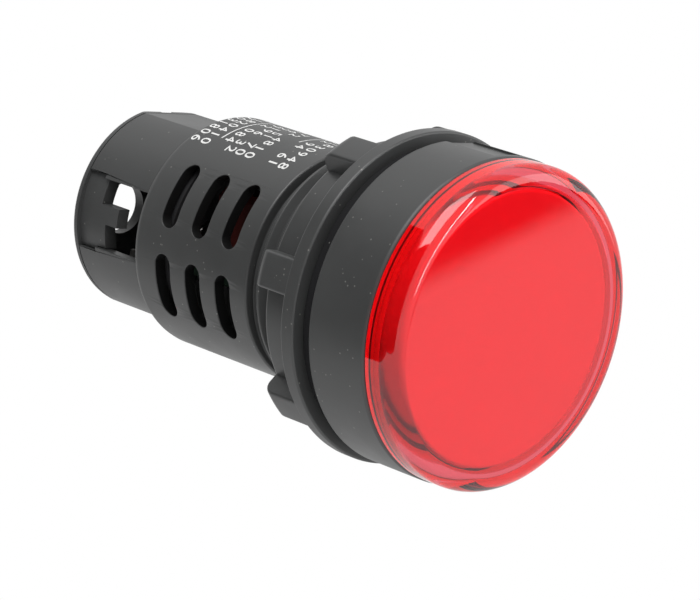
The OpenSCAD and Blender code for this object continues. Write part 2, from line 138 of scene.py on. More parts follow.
class HousingSettings(bpy.types.PropertyGroup):
    """Sizes of the vented barrel, its print and the terminal cover."""

    slot_width: FloatProperty(
        name="Slot width", description="Width of a vent slot", default=2 * MM, unit="LENGTH", precision=5
    )
    slot_height: FloatProperty(
        name="Slot height", description="Length of a vent slot round the barrel", default=5.7 * MM, unit="LENGTH",
        precision=5,
    )
    slot_pitch: FloatProperty(
        name="Slot pitch", description="Distance between neighbouring slots", default=4 * MM, unit="LENGTH",
        precision=5,
    )
    slot_row: FloatProperty(
        name="Slot row", description="Height of the slot rows above and below the middle", default=4.05 * MM,
        unit="LENGTH", precision=5,
    )
    edge: FloatProperty(
        name="Edge rounding", description="Radius of slot and window edges", default=0.11 * MM, unit="LENGTH",
        precision=5,
    )
    print_color: FloatVectorProperty(
        name="Print colour", description="Colour of the printed marks", subtype="COLOR", size=3, min=0, max=1,
        default=(0.8, 0.8, 0.79),
    )


class FinishSettings(bpy.types.PropertyGroup):
    """Colours of the moulded plastic and the dust on it."""

    plastic: FloatVectorProperty(
        name="Plastic", description="Colour of the black moulded shells", subtype="COLOR", size=3, min=0, max=1,
        default=(0.045, 0.046, 0.046),
    )
    rubber: FloatVectorProperty(
        name="Rubber", description="Colour of the gasket", subtype="COLOR", size=3, min=0, max=1,
        default=(0.012, 0.012, 0.013),
    )
    dust: FloatVectorProperty(
        name="Dust", description="Colour of the dust specks", subtype="COLOR", size=3, min=0, max=1,
        default=(0.16, 0.16, 0.15),
    )


class StageSettings(bpy.types.PropertyGroup):
    """Light levels and floor of the studio."""

    floor_drop: FloatProperty(
        name="Floor drop", description="Height of the light's axis above the floor", default=0.16, unit="LENGTH"
    )
    key: FloatProperty(name="Key light", description="Power of the main soft box in watts", default=7.0, min=0)
    fill: FloatProperty(name="Fill light", description="Power of the fill soft box in watts", default=2.0, min=0)
    ambient: FloatProperty(name="Ambient", description="Strength of the light from all round", default=0.38, min=0)
    mirrored: FloatProperty(name="Mirrored", description="Strength of the surroundings in reflections", default=0.85, min=0)


# Modelling helpers


def select_only(*pieces):
    """Selects the given pieces and makes the first one active."""
    bpy.ops.object.select_all(action="DESELECT")
    for piece in pieces:
        piece.select_set(True)
    bpy.context.view_layer.objects.active = pieces[0]


def name_piece(name):
    """Names the piece that was just added, and its mesh."""
    piece = bpy.context.object
    piece.name = name
    piece.data.name = name
    return piece


def arc(center_r, center_y, radius, start, end, steps=8):
    """Returns the outline points of an arc, with its angles in degrees."""
    angles = [math.radians(start + (end - start) * i / steps) for i in range(steps + 1)]
    return [(center_r + radius * math.cos(a), center_y + radius * math.sin(a)) for a in angles]


def rounded(outline, radii, steps=5):
    """Rounds corners of a closed outline; radii gives a radius for the corner numbers that get one."""
    points = []
    for i, corner in enumerate(outline):
        if i not in radii:
            points.append(corner)
            continue
        at = Vector(corner)
        before = (Vector(outline[i - 1]) - at).normalized()
        after = (Vector(outline[(i + 1) % len(outline)]) - at).normalized()
        half = before.angle(after) / 2
        middle = at + (before + after).normalized() * radii[i] / math.sin(half)
        first = (at + before * radii[i] / math.tan(half) - middle).normalized()
        last = (at + after * radii[i] / math.tan(half) - middle).normalized()
        for step in range(steps + 1):
            points.append(tuple(middle + first.slerp(last, step / steps) * radii[i]))
    return points


def draw_outline(name, outline, closed=True):
    """Draws an outline of (radius, y) points, edge by edge, starting from one vertex."""
    bpy.ops.object.select_all(action="DESELECT")
    bpy.ops.mesh.primitive_plane_add(size=MM)
    piece = name_piece(name)
    bpy.ops.object.mode_set(mode="EDIT")
    bpy.ops.mesh.merge(type="CENTER")
    corners = [Vector((r * MM, y * MM, 0)) for r, y in outline]
    if closed:
        corners.append(corners[0])
    bpy.ops.transform.translate(value=corners[0])
    for here, there in zip(corners, corners[1:]):
        bpy.ops.mesh.extrude_region_move(TRANSFORM_OT_translate={"value": there - here})
    bpy.ops.mesh.select_all(action="SELECT")
    bpy.ops.mesh.remove_doubles(threshold=WELD)
    bpy.ops.object.mode_set(mode="OBJECT")
    return piece


def close_up():
    """Welds the mesh in edit mode and points its faces outwards."""
    bpy.ops.mesh.select_all(action="SELECT")
    bpy.ops.mesh.remove_doubles(threshold=WELD)
    bpy.ops.mesh.normals_make_consistent(inside=False)


def turn(name, outline, steps=STEPS, center=(0, 0)):
    """Turns an outline into a solid round the Y axis, which passes through center (x, z)."""
    piece = draw_outline(name, outline, closed=outline[0][0] > 0 or outline[-1][0] > 0)
    bpy.ops.object.mode_set(mode="EDIT")
    bpy.ops.mesh.select_all(action="SELECT")
    bpy.ops.mesh.spin(steps=steps, angle=2 * math.pi, center=(0, 0, 0), axis=(0, 1, 0))
    close_up()
    bpy.ops.transform.translate(value=(center[0] * MM, 0, center[1] * MM))
    bpy.ops.object.mode_set(mode="OBJECT")
    return piece


def box(name, low, high):
    """Adds a box between two corners given in millimetres."""
    bpy.ops.object.select_all(action="DESELECT")
    bpy.ops.mesh.primitive_cube_add(size=1)
    piece = name_piece(name)
    low, high = Vector(low), Vector(high)
    bpy.ops.object.mode_set(mode="EDIT")
    bpy.ops.transform.resize(value=(high - low) * MM)
    bpy.ops.transform.translate(value=(low + high) / 2 * MM)
    bpy.ops.object.mode_set(mode="OBJECT")
    return piece


def pick(piece, test):
    """Selects the vertices whose place passes a test, with the edges and faces between them."""
    mesh = piece.data
    for vertex in mesh.vertices:
        vertex.select = test(vertex.co)
    for part in (*mesh.edges, *mesh.polygons):
        part.select = all(mesh.vertices[v].select for v in part.vertices)


def copy_of(piece):
    """Copies a piece together with its mesh."""
    select_only(piece)
    bpy.ops.object.duplicate(linked=False)
    return bpy.context.object


def combine(piece, tool, operation):
    """Joins, cuts or crosses a piece with a tool solid, which is used up."""
    select_only(piece)
    step = piece.modifiers.new("Combine", "BOOLEAN")
    step.operation = operation
    step.solver = "EXACT"
    step.object = tool
    bpy.ops.object.modifier_apply(modifier=step.name)
    bpy.data.objects.remove(tool)


def join_on(piece, *others):
    """Makes other closed shells part of a piece, without cutting them where they meet."""
    select_only(piece, *others)
    bpy.ops.object.join()


def soften(piece, width, segments=2, sharper_than=40):
    """Clears needless edges from flat faces, then rounds every edge that is sharper than the given angle."""
    select_only(piece)
    bpy.ops.object.mode_set(mode="EDIT")
    bpy.ops.mesh.select_all(action="SELECT")
    bpy.ops.mesh.dissolve_limited(angle_limit=math.radians(0.3))
    bpy.ops.mesh.remove_doubles(threshold=0.004 * MM)
    bpy.ops.object.mode_set(mode="OBJECT")
    step = piece.modifiers.new("Soften", "BEVEL")
    step.limit_method = "ANGLE"
    step.angle_limit = math.radians(sharper_than)
    step.width = width
    step.segments = segments
    step.use_clamp_overlap = False
    bpy.ops.object.modifier_apply(modifier=step.name)


def shade(piece, sharper_than=35):
    """Shades a piece smooth, and keeps the edges sharper than the given angle and its large faces flat."""
    select_only(piece)
    bpy.ops.object.shade_smooth_by_angle(angle=math.radians(sharper_than))
    even = piece.modifiers.new("Even Shading", "WEIGHTED_NORMAL")
    even.keep_sharp = True
    bpy.ops.object.modifier_apply(modifier=even.name)


def dress(piece, material, body, slot, *nodes):
    """Gives a finished piece its material and body, and hides the CAD nodes that it stands for; the slot is not used.
    """
    piece.data.materials.clear()
    piece.data.materials.append(material)
    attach(piece, body)
    if nodes:
        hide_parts(*nodes)


def repaint(piece, key, test):
    """Gives the faces whose corners all pass a test a second material."""
    piece.data.materials.append(finish_named(key))
    select_only(piece)
    pick(piece, test)
    piece.active_material_index = 1
    bpy.ops.object.mode_set(mode="EDIT")
    bpy.ops.object.material_slot_assign()
    bpy.ops.object.mode_set(mode="OBJECT")


# Shader groups and materials


def new_group(name, inputs, outputs):
    """Starts a shader group with named float inputs (plus Vector) and the outputs given with their types."""
    group = bpy.data.node_groups.new(name, "ShaderNodeTree")
    group.interface.new_socket("Vector", in_out="INPUT", socket_type="NodeSocketVector")
    for label, value in inputs:
        group.interface.new_socket(label, in_out="INPUT", socket_type="NodeSocketFloat").default_value = value
    for label, kind in outputs:
        group.interface.new_socket(label, in_out="OUTPUT", socket_type=kind)
    return group, group.nodes.new("NodeGroupInput"), group.nodes.new("NodeGroupOutput")


def moulding_group():
    """Surface of moulded plastic: a fine grain for the bump and broad clouds for the gloss."""
    group, given, out = new_group(
        "Moulded Surface", [("Grain Scale", 2600), ("Cloud Scale", 90)],
        [("Grain", "NodeSocketFloat"), ("Clouds", "NodeSocketFloat")],
    )
    link = group.links.new
    grain = group.nodes.new("ShaderNodeTexNoise")
    grain.inputs["Detail"].default_value = 3
    clouds = group.nodes.new("ShaderNodeTexNoise")
    clouds.inputs["Detail"].default_value = 4
    clouds.inputs["Roughness"].default_value = 0.62
    link(given.outputs["Vector"], grain.inputs["Vector"])
    link(given.outputs["Vector"], clouds.inputs["Vector"])
    link(given.outputs["Grain Scale"], grain.inputs["Scale"])
    link(given.outputs["Cloud Scale"], clouds.inputs["Scale"])
    link(grain.outputs["Fac"], out.inputs["Grain"])
    link(clouds.outputs["Fac"], out.inputs["Clouds"])
    return group


def dust_group():
    """Tiny specks of dust, thinned out in patches by a slow noise."""
    group, given, out = new_group(
        "Dust Specks", [("Speck Scale", 1500), ("Speck Size", 0.11), ("Cover", 0.5)], [("Mask", "NodeSocketFloat")]
    )
    link = group.links.new
    cells = group.nodes.new("ShaderNodeTexVoronoi")
    cells.inputs["Randomness"].default_value = 1
    patches = group.nodes.new("ShaderNodeTexNoise")
    patches.inputs["Scale"].default_value = 160
    near = group.nodes.new("ShaderNodeMath")
    near.operation = "LESS_THAN"
    there = group.nodes.new("ShaderNodeMath")
    there.operation = "GREATER_THAN"
    chosen = group.nodes.new("ShaderNodeSeparateColor")
    kept = group.nodes.new("ShaderNodeMath")
    kept.operation = "GREATER_THAN"
    both = group.nodes.new("ShaderNodeMath")
    both.operation = "MULTIPLY"
    mask = group.nodes.new("ShaderNodeMath")
    mask.operation = "MULTIPLY"
    link(given.outputs["Vector"], cells.inputs["Vector"])
    link(given.outputs["Speck Scale"], cells.inputs["Scale"])
    link(given.outputs["Vector"], patches.inputs["Vector"])
    link(cells.outputs["Distance"], near.inputs[0])
    link(given.outputs["Speck Size"], near.inputs[1])
    link(cells.outputs["Color"], chosen.inputs["Color"])
    link(chosen.outputs["Red"], kept.inputs[0])
    link(given.outputs["Cover"], kept.inputs[1])
    link(patches.outputs["Fac"], there.inputs[0])
    there.inputs[1].default_value = 0.46
    link(near.outputs["Value"], both.inputs[0])
    link(kept.outputs["Value"], both.inputs[1])
    link(both.outputs["Value"], mask.inputs[0])
    link(there.outputs["Value"], mask.inputs[1])
    link(mask.outputs["Value"], out.inputs["Mask"])
    return group


def new_material(name, color, roughness, metallic=0.0):
    """Starts a material whose shader has a plain colour, gloss and metal value."""
    material = bpy.data.materials.new(name)
    material.use_nodes = True
    shader = material.node_tree.nodes["Principled BSDF"]
    shader.inputs["Base Color"].default_value = (*color, 1)
    shader.inputs["Roughness"].default_value = roughness
    shader.inputs["Metallic"].default_value = metallic
    material.diffuse_color = (*color, 1)
    return material, shader


def add(material, kind, **values):
    """Adds a node to a material and sets its input values by name."""
    node = material.node_tree.nodes.new(kind)
    for label, value in values.items():
        node.inputs[label.replace("_", " ")].default_value = value
    return node


def coordinates(material):
    """Returns the piece's own coordinates in a material."""
    return add(material, "ShaderNodeTexCoord").outputs["Object"]


def put_group(material, group, **values):
    """Places a shader group in a material, reading the piece's own coordinates."""
    node = material.node_tree.nodes.new("ShaderNodeGroup")
    node.node_tree = group
    for label, value in values.items():
        node.inputs[label.replace("_", " ")].default_value = value
    material.node_tree.links.new(coordinates(material), node.inputs["Vector"])
    return node


def vary(material, value, low, high):
    """Maps a slow noise value, which stays near its middle, onto a range."""
    node = material.node_tree.nodes.new("ShaderNodeMapRange")
    node.inputs["From Min"].default_value = 0.3
    node.inputs["From Max"].default_value = 0.7
    node.inputs["To Min"].default_value = low
    node.inputs["To Max"].default_value = high
    material.node_tree.links.new(value, node.inputs["Value"])
    return node.outputs["Result"]


def bump(material, shader, height, strength, distance):
    """Feeds a height into the shader's normal."""
    node = add(material, "ShaderNodeBump", Strength=strength, Distance=distance)
    material.node_tree.links.new(height, node.inputs["Height"])
    material.node_tree.links.new(node.outputs["Normal"], shader.inputs["Normal"])


def mix_color(material, mask, first, second):
    """Mixes two colours, or the outputs of other nodes, by a mask."""
    node = material.node_tree.nodes.new("ShaderNodeMix")
    node.data_type = "RGBA"
    material.node_tree.links.new(mask, node.inputs["Factor"])
    for socket, value in ((node.inputs[6], first), (node.inputs[7], second)):
        if isinstance(value, bpy.types.NodeSocket):
            material.node_tree.links.new(value, socket)
        else:
            socket.default_value = (*value, 1)
    return node.outputs[2]


def moulded(name, groups, color, dust, gloss=(0.36, 0.5), grain=0.12, specks=0.62, tint=1.18, shine=0.5):
    """Satin moulded plastic with a fine grain, slightly uneven gloss and dust specks."""
    material, shader = new_material(name, color, sum(gloss) / 2)
    link = material.node_tree.links.new
    surface = put_group(material, groups["surface"])
    shader.inputs["Specular IOR Level"].default_value = shine
    link(vary(material, surface.outputs["Clouds"], *gloss), shader.inputs["Roughness"])
    light = tuple(min(1, c * tint) for c in color)
    body = mix_color(material, vary(material, surface.outputs["Clouds"], 0, 1), color, light)
    if specks < 1:
        dusty = put_group(material, groups["dust"], Cover=specks)
        body = mix_color(material, dusty.outputs["Mask"], body, dust)
    link(body, shader.inputs["Base Color"])
    bump(material, shader, surface.outputs["Grain"], grain, 0.03 * MM)
    return material


def metal(name, groups, color, gloss, tarnish):
    """Bare or plated metal with faint blotches."""
    material, shader = new_material(name, color, sum(gloss) / 2, 1.0)
    link = material.node_tree.links.new
    surface = put_group(material, groups["surface"], Cloud_Scale=420)
    link(vary(material, surface.outputs["Clouds"], *gloss), shader.inputs["Roughness"])
    link(mix_color(material, vary(material, surface.outputs["Clouds"], 0, 1), color, tarnish), shader.inputs["Base Color"])
    bump(material, shader, surface.outputs["Grain"], 0.08, 0.02 * MM)
    return material


def clear_red(name, groups, color):
    """Clear red plastic that lets coloured light through to what is behind it."""
    material, shader = new_material(name, color, 0.03)
    nodes, link = material.node_tree.nodes, material.node_tree.links.new
    shader.inputs["Transmission Weight"].default_value = 1
    shader.inputs["IOR"].default_value = 1.585
    surface = put_group(material, groups["surface"], Cloud_Scale=60)
    link(vary(material, surface.outputs["Clouds"], 0.015, 0.05), shader.inputs["Roughness"])
    passing = nodes.new("ShaderNodeBsdfTransparent")
    passing.inputs["Color"].default_value = (color[0], color[1] ** 1.2, color[2] ** 1.2, 1)
    rays = nodes.new("ShaderNodeLightPath")
    both = nodes.new("ShaderNodeMixShader")
    link(rays.outputs["Is Shadow Ray"], both.inputs["Fac"])
    link(shader.outputs["BSDF"], both.inputs[1])
    link(passing.outputs["BSDF"], both.inputs[2])
    link(both.outputs["Shader"], nodes["Material Output"].inputs["Surface"])
    return material


def banded(name, groups, ground, bands, axis, soft=0.0):
    """A small component with painted bands; bands are (from, to, colour) in millimetres along an axis."""
    material, shader = new_material(name, ground, 0.42)
    nodes, link = material.node_tree.nodes, material.node_tree.links.new
    split = nodes.new("ShaderNodeSeparateXYZ")
    link(coordinates(material), split.inputs["Vector"])
    body = ground
    for low, high, color in bands:
        middle, half = (low + high) / 2 * MM, (high - low) / 2 * MM
        inside = nodes.new("ShaderNodeMath")
        inside.operation = "COMPARE"
        inside.inputs[1].default_value = middle
        inside.inputs[2].default_value = half
        link(split.outputs[axis], inside.inputs[0])
        body = mix_color(material, inside.outputs["Value"], body, color)
    link(body, shader.inputs["Base Color"])
    surface = put_group(material, groups["surface"], Cloud_Scale=300)
    link(vary(material, surface.outputs["Clouds"], 0.34, 0.52), shader.inputs["Roughness"])
    return material


class PILOT_OT_finishes(bpy.types.Operator):
    """Builds the materials and gives each CAD node its own"""

    bl_idname = "pilot.finishes"
    bl_label = "Finishes"

    def execute(self, context):
        scene = context.scene
        look = scene.pilot_finish
        groups = {"surface": moulding_group(), "dust": dust_group()}
        made = {
            "housing_black": moulded("Housing Black", groups, tuple(look.plastic), tuple(look.dust)),
            # A near-black, duller copy of the housing plastic: painted shade on the barrel's inner walls and slot
            # walls.
            "inside_painted_shade": moulded("Inside Painted Shade", groups, (0.006, 0.006, 0.006), (1, 1, 1), specks=1, shine=0.2),
            "nut_black": moulded("Nut Black", groups, tuple(look.plastic), tuple(look.dust), gloss=(0.34, 0.48)),
            "cover_black": moulded("Cover Black", groups, tuple(look.plastic), tuple(look.dust), gloss=(0.38, 0.54)),
            "block_black": moulded("Block Black", groups, (0.02, 0.02, 0.021), tuple(look.dust), specks=1),
            "gasket_rubber": moulded(
                "Gasket Rubber", groups, tuple(look.rubber), tuple(look.dust), gloss=(0.62, 0.8), grain=0.3,
                specks=0.72, shine=0.15,
            ),
            "lens_red": clear_red("Clear Red", groups, tuple(scene.pilot_lens.color)),
            "lens_frosted": moulded(
                "Frosted Red", groups, (0.85, 0.03, 0.04), (1, 1, 1), gloss=(0.5, 0.6), specks=1, tint=1,
            ),
            "diffuser_white": moulded("Diffuser White", groups, (0.9, 0.88, 0.86), (1, 1, 1), specks=1, grain=0.2, tint=1),
            "led_body": moulded("LED Milky", groups, (0.85, 0.8, 0.76), (1, 1, 1), gloss=(0.15, 0.25), specks=1),
            "board_white": moulded("White Board", groups, (0.82, 0.82, 0.8), (1, 1, 1), specks=1, tint=1),
            # The board's green, darkened as painted shade inside the barrel.
            "board_green": moulded("Green Circuit Board Painted Shade", groups, (0.006, 0.02, 0.01), (1, 1, 1), specks=1, tint=1.4),
            "tinned": metal("Tinned Copper", groups, (0.72, 0.71, 0.69), (0.24, 0.4), (0.52, 0.5, 0.47)),
            "plated": metal("Plated Steel", groups, (0.7, 0.69, 0.66), (0.26, 0.42), (0.5, 0.49, 0.46)),
            # The capacitor's red, darkened almost to black as painted shade inside the barrel.
            "film_red": moulded("Red Film Capacitor Painted Shade", groups, (0.06, 0.01, 0.008), (1, 1, 1), gloss=(0.3, 0.45), specks=1),
            "can_blue": banded("Capacitor Sleeve", groups, (0.02, 0.03, 0.12), [(0.6, 2.2, (0.55, 0.56, 0.58))], "Z"),
            "resistor": banded(
                "Resistor Beige", groups, (0.62, 0.47, 0.3),
                [(3.4, 3.9, (0.16, 0.06, 0.02)), (4.4, 4.9, (0.01, 0.01, 0.01)), (5.4, 5.9, (0.5, 0.03, 0.02)),
                 (7.1, 7.4, (0.55, 0.38, 0.1))], "Y",
            ),
            "chip": moulded("Chip Black", groups, (0.02, 0.02, 0.02), (1, 1, 1), gloss=(0.4, 0.55), specks=1),
            "print_white": moulded(
                "Print White", groups, tuple(scene.pilot_housing.print_color), (1, 1, 1), gloss=(0.52, 0.68), specks=1,
                tint=0.88,
            ),
        }
        scene["pilot_materials"] = {key: material.name for key, material in made.items()}
        kept = {
            "diffuser": "diffuser_white", "led_board": "board_white", "leds": "led_body", "gasket": "gasket_rubber",
            "terminal_block": "block_black", "contact_left": "tinned", "contact_right": "tinned",
            "clamp_left": "plated", "clamp_right": "plated", "driver_board": "board_green",
            "film_capacitor": "film_red", "smoothing_capacitor": "can_blue", "resistors": "resistor",
            "rectifier": "chip", "link_pins": "tinned", "lens": "lens_red", "front_body": "housing_black",
            "ring_nut": "nut_black", "rear_housing": "housing_black", "terminal_cover": "cover_black",
            "screw_left": "plated", "screw_right": "plated",
        }
        for node, key in kept.items():
            NODES[node].data.materials.clear()
            NODES[node].data.materials.append(made[key])
        return {"FINISHED"}


def finish_named(key):
    """Returns a material by its key."""
    return bpy.data.materials[bpy.context.scene["pilot_materials"][key]]


class PILOT_OT_lens(bpy.types.Operator):
    """Turns the hollow red lens with its rounded shoulder and snap skirt"""

    bl_idname = "pilot.lens"
    bl_label = "Lens"

    def execute(self, context):
        look = context.scene.pilot_lens
        rim = -context.scene.pilot_bezel.length / MM
        outer = BEZEL_R - 0.1
        shoulder, wall = look.shoulder / MM, look.wall / MM
        skirt = BEZEL_R - 1.2
        inner = outer - wall
        front = LENS_FRONT
        outline = [(0, front + wall), (0, front)]
        outline += arc(outer - shoulder, front + shoulder, shoulder, -90, 0, 16)
        foot = rim - 0.04
        outline += [(outer, foot - 0.12), (outer - 0.12, foot), (skirt, foot), (skirt, rim + 3.05), (skirt - 0.15, rim + 3.2)]
        outline += [(skirt - 0.45, rim + 3.2), (skirt - 0.45, foot), (skirt - 1.1, foot), (inner, rim - wall)]
        outline += arc(inner - 0.9, front + wall + 0.9, 0.9, 0, -90, 10)
        lens = turn("lens_dome", outline, steps=192)
        shade(lens, 30)
        dress(lens, finish_named("lens_red"), "housing", "lens_red", "lens")
        repaint(lens, "lens_frosted", lambda co: abs(co.y - foot * MM) < WELD)
        return {"FINISHED"}


class PILOT_OT_diffuser(bpy.types.Operator):
    """Turns the milky cup behind the lens, with a wide head that fills the lens band"""

    bl_idname = "pilot.diffuser"
    bl_label = "Diffuser"

    def execute(self, context):
        rim = -context.scene.pilot_bezel.length / MM
        front = reach("diffuser", 1, 0)
        rear = reach("diffuser", 1, 1)
        narrow, wall = reach("diffuser", 0, 1), 0.8
        wide = narrow + 0.4
        outline = [
            (0, front), (wide, front), (narrow + 0.1, rim - 0.15), (narrow, rim), (narrow, rear),
            (narrow - wall, rear), (narrow - wall, front + wall), (0, front + wall),
        ]
        cup = turn("milk_diffuser", rounded(outline, {1: 0.3}), steps=128)
        shade(cup, 30)
        dress(cup, finish_named("diffuser_white"), "housing", "diffuser_milk", "diffuser")
        return {"FINISHED"}


class PILOT_OT_bezel(bpy.types.Operator):
    """Turns the bezel and neck, and runs a helical thread along the neck"""

    bl_idname = "pilot.bezel"
    bl_label = "Bezel and Neck"

    def execute(self, context):
        look = context.scene.pilot_bezel
        front, crest = -look.length / MM, look.thread_r / MM
        pitch, root = look.thread_pitch / MM, (look.thread_r - look.thread_depth) / MM
        pocket, bore, floor_front = BEZEL_R - 1.1, 9.2, -1.6
        edge = look.rim_round / MM
        outline = [
            (pocket, front), (BEZEL_R, front), (BEZEL_R, 0), (root, 0), (root, NECK_REAR), (bore, NECK_REAR),
            (bore, floor_front), (pocket, floor_front),
        ]
        body = turn("bezel_neck", rounded(outline, {0: 0.12, 1: edge, 2: edge, 4: 0.15, 5: 0.15}))
        mark = box("mark_cut", (-1.8, front + 0.7, BEZEL_R - 0.3), (1.8, 1, BEZEL_R + 1))
        combine(body, mark, "DIFFERENCE")
        join_on(body, self.thread(root, crest, pitch))
        shade(body, 32)
        dress(body, finish_named("housing_black"), "housing", "housing_black", "front_body")
        return {"FINISHED"}

    def thread(self, root, crest, pitch):
        """Winds one thread ridge and trims it to the neck, with a chamfer at its rear end."""
        foot, start = root - 0.25, -2 * pitch
        tooth = [
            (foot, start - 0.06 * pitch), (crest - 0.07, start + 0.26 * pitch), (crest, start + 0.32 * pitch),
            (crest, start + 0.44 * pitch), (crest - 0.07, start + 0.5 * pitch), (foot, start + 0.82 * pitch),
        ]
        ridge = draw_outline("thread", tooth)
        select_only(ridge)
        wind = ridge.modifiers.new("Wind", "SCREW")
        wind.axis = "Y"
        wind.steps = wind.render_steps = 96
        wind.iterations = 11
        wind.screw_offset = pitch * MM
        wind.use_merge_vertices = False
        bpy.ops.object.modifier_apply(modifier=wind.name)
        bpy.ops.object.mode_set(mode="EDIT")
        bpy.ops.mesh.select_all(action="DESELECT")
        bpy.ops.mesh.select_mode(type="VERT")
        bpy.ops.mesh.select_non_manifold()
        bpy.ops.mesh.edge_face_add()
        close_up()
        bpy.ops.object.mode_set(mode="OBJECT")
        trim = turn(
            "thread_trim",
            [(root - 0.5, 0.35), (crest - 0.3, 0.35), (crest + 0.2, 0.85), (crest + 0.2, NECK_REAR - 0.75),
             (root + 0.05, NECK_REAR - 0.12), (root - 0.5, NECK_REAR - 0.12)],
        )
        combine(ridge, trim, "INTERSECT")
        return ridge


class PILOT_OT_nut(bpy.types.Operator):
    """Turns the ring nut, cuts its lugs from one turned ring and joins them on"""

    bl_idname = "pilot.nut"
    bl_label = "Ring Nut"

    def execute(self, context):
        look = context.scene.pilot_nut
        edge = look.edge / MM
        bore, hub, flange_rear = 10.98, 13.0, NUT_FRONT + 1.5
        outline = [
            (bore, NUT_FRONT), (FLANGE_R, NUT_FRONT), (FLANGE_R, flange_rear), (hub, flange_rear), (hub, NUT_REAR),
            (bore + 0.45, NUT_REAR), (bore, NUT_REAR - 0.45),
        ]
        nut = turn("lug_nut", rounded(outline, {1: edge, 2: edge, 3: 0.2, 4: 0.4, 5: 0.1}))
        lug_rear = NUT_REAR - 0.02
        across = 1.2
        lug_r = FLANGE_R - 0.02
        lug_outline = [(hub - 0.4, NUT_FRONT + 0.5), (lug_r, NUT_FRONT + 0.5)]
        lug_outline += arc(lug_r - across, lug_rear - across, across, 0, 90, 10)
        lug_outline += [(hub - 0.4, lug_rear)]
        half = look.lug_width / MM / 2
        lug = turn("lug", lug_outline)
        combine(lug, box("lug_blank", (0, NUT_FRONT, -half), (FLANGE_R + 1, NUT_REAR + 1, half)), "INTERSECT")
        soften(lug, edge * MM, segments=3, sharper_than=50)
        copies = [lug] + [copy_of(lug) for _ in range(look.lugs - 1)]
        for number, one in enumerate(copies):
            self.set_angle(one, look.turned + number * 2 * math.pi / look.lugs)
        join_on(nut, *copies)
        shade(nut, 32)
        dress(nut, finish_named("nut_black"), "nut", "nut_black", "ring_nut")
        return {"FINISHED"}

    def set_angle(self, piece, angle):
        """Swings a lug round the axis, clockwise as seen from the front."""
        select_only(piece)
        bpy.ops.object.mode_set(mode="EDIT")
        bpy.ops.mesh.select_all(action="SELECT")
        bpy.ops.transform.rotate(value=-angle, orient_axis="Y", center_override=(0, 0, 0))
        bpy.ops.object.mode_set(mode="OBJECT")


class PILOT_OT_housing(bpy.types.Operator):
    """Turns the rear barrel and sleeve, and cuts its vents and wire windows"""

    bl_idname = "pilot.housing"
    bl_label = "Rear Housing"

    def execute(self, context):
        look = context.scene.pilot_housing
        front = NECK_REAR + 0.35
        rear = front + 15.4
        inner, sleeve, bore = BARREL_R - 1.2, 9.5, 8.2
        outline = [
            (8.0, SPIGOT_FRONT), (9.1, SPIGOT_FRONT), (9.1, front), (BARREL_R, front), (BARREL_R, rear),
            (sleeve, rear), (sleeve, SLEEVE_REAR), (bore, SLEEVE_REAR), (bore, rear - 1.2), (inner, rear - 1.2),
            (inner, front + 1.2), (8.0, front + 1.2),
        ]
        outline[4:4] = [(BARREL_R, front + 0.5 * step) for step in range(1, 28)]
        housing = turn("vented_barrel", rounded(outline, {1: 0.2, 3: 0.22, 31: 0.9, 32: 0.12, 33: 0.12}))
        for side in (-1, 1):
            flat = box("flat_cut", (-20, rear, 0), (20, SLEEVE_REAR + 1, 5))
            self.shift(flat, FLAT_Z if side > 0 else -FLAT_Z - 5)
            combine(housing, flat, "DIFFERENCE")
        window = box("window_cut", (-20, rear + 0.001, -3.2), (20, LIGHT_REAR + 1, 3.2))
        combine(window, box("window_step", (-20, SLEEVE_REAR - 2.3, -3.55), (20, LIGHT_REAR + 1, 3.55)), "UNION")
        combine(housing, window, "DIFFERENCE")
        for column in range(3):
            for row in (-1, 1):
                middle = front + 3.15 + column * look.slot_pitch / MM
                combine(housing, self.slot_tool(look, middle, row * look.slot_row / MM), "DIFFERENCE")
        soften(housing, look.edge, segments=2, sharper_than=50)
        shade(housing)
        dress(housing, finish_named("housing_black"), "housing", "housing_black", "rear_housing")
        # The inner walls and slot walls get the near-black copy of the plastic as painted shade.
        repaint(housing, "inside_painted_shade", lambda co: self.inside(co, front, rear))
        return {"FINISHED"}

    def inside(self, co, front, rear):
        """Tells whether a place lies inside the barrel's wall, or on the wall of a slot."""
        return (front + 0.5) * MM < co.y < (rear - 0.5) * MM and math.hypot(co.x, co.z) < BARREL_R * MM - 0.00008

    def shift(self, piece, height):
        """Lifts a cutter by a height in millimetres."""
        select_only(piece)
        bpy.ops.object.mode_set(mode="EDIT")
        bpy.ops.mesh.select_all(action="SELECT")
        bpy.ops.transform.translate(value=(0, 0, height * MM))
        bpy.ops.object.mode_set(mode="OBJECT")

    def slot_tool(self, look, y, z):
        """Makes one bar with round ends that cuts a slot through both sides of the barrel."""
        radius = look.slot_width / 2
        straight = look.slot_height - look.slot_width
        bpy.ops.object.select_all(action="DESELECT")
        bpy.ops.mesh.primitive_cylinder_add(vertices=40, radius=radius, depth=30 * MM, rotation=(0, math.pi / 2, 0))
        bar = name_piece("slot_bar")
        bpy.ops.object.transform_apply(location=True, rotation=True, scale=True)
        pick(bar, lambda co: co.z > WELD)
        bpy.ops.object.mode_set(mode="EDIT")
        bpy.ops.transform.translate(value=(0, 0, straight))
        bpy.ops.mesh.select_all(action="SELECT")
        bpy.ops.transform.translate(value=(0, y * MM, z * MM - straight / 2))
        bpy.ops.mesh.normals_make_consistent(inside=False)
        bpy.ops.object.mode_set(mode="OBJECT")
        return bar


